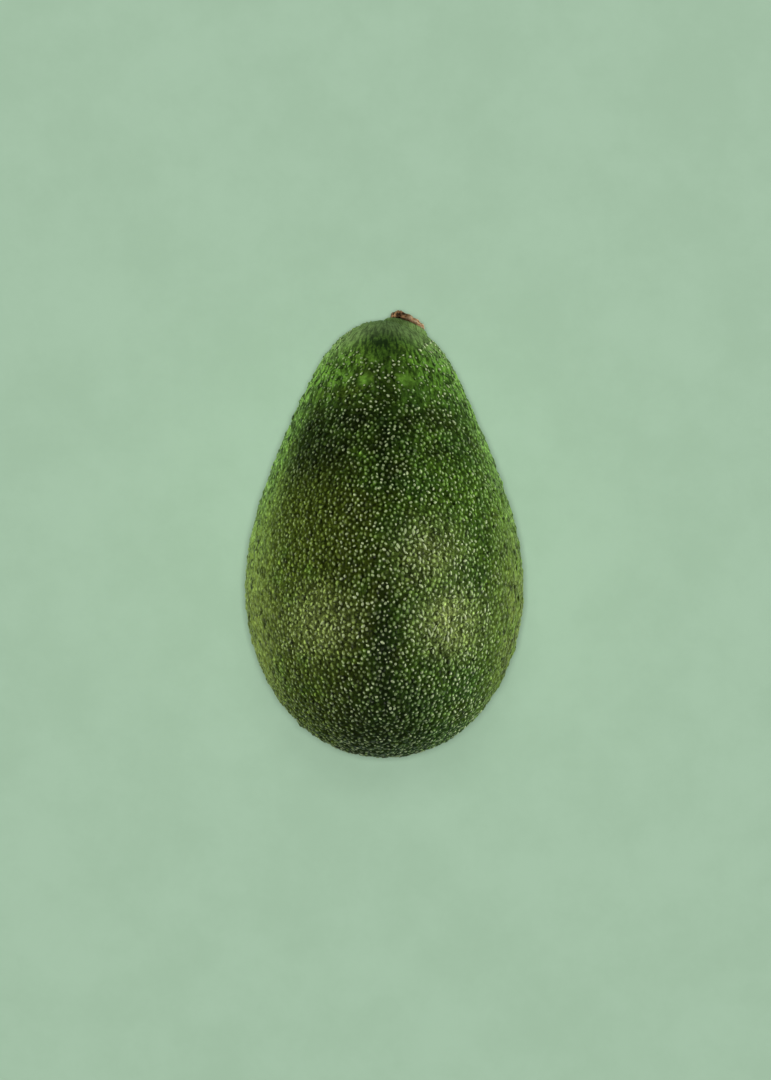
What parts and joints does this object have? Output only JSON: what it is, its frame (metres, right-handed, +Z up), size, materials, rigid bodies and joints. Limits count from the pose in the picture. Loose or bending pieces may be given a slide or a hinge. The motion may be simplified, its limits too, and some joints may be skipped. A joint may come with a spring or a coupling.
{
  "type": "avocado",
  "caption": "Whole pear-shaped avocado with pebbled green skin and a dry stalk button, lying on its side.",
  "frame": {"origin": "centre of the part's box on the surface that the fruit lies on", "axes": "+Z up, +Y along the fruit from the blossom end towards the neck and stalk, +X to the side that the stalk button leans towards"},
  "size_m": [0.0704, 0.1108, 0.0705],
  "materials": {
    "skin": "waxy green skin, pebbled, with dark valleys and pale specks; soft gloss",
    "stalk": "dry, torn, matt brown stalk with a pale broken edge"
  },
  "bodies": {
    "root": {"fruit": "skin", "stem_button": "stalk"}
  },
  "joints": []
}
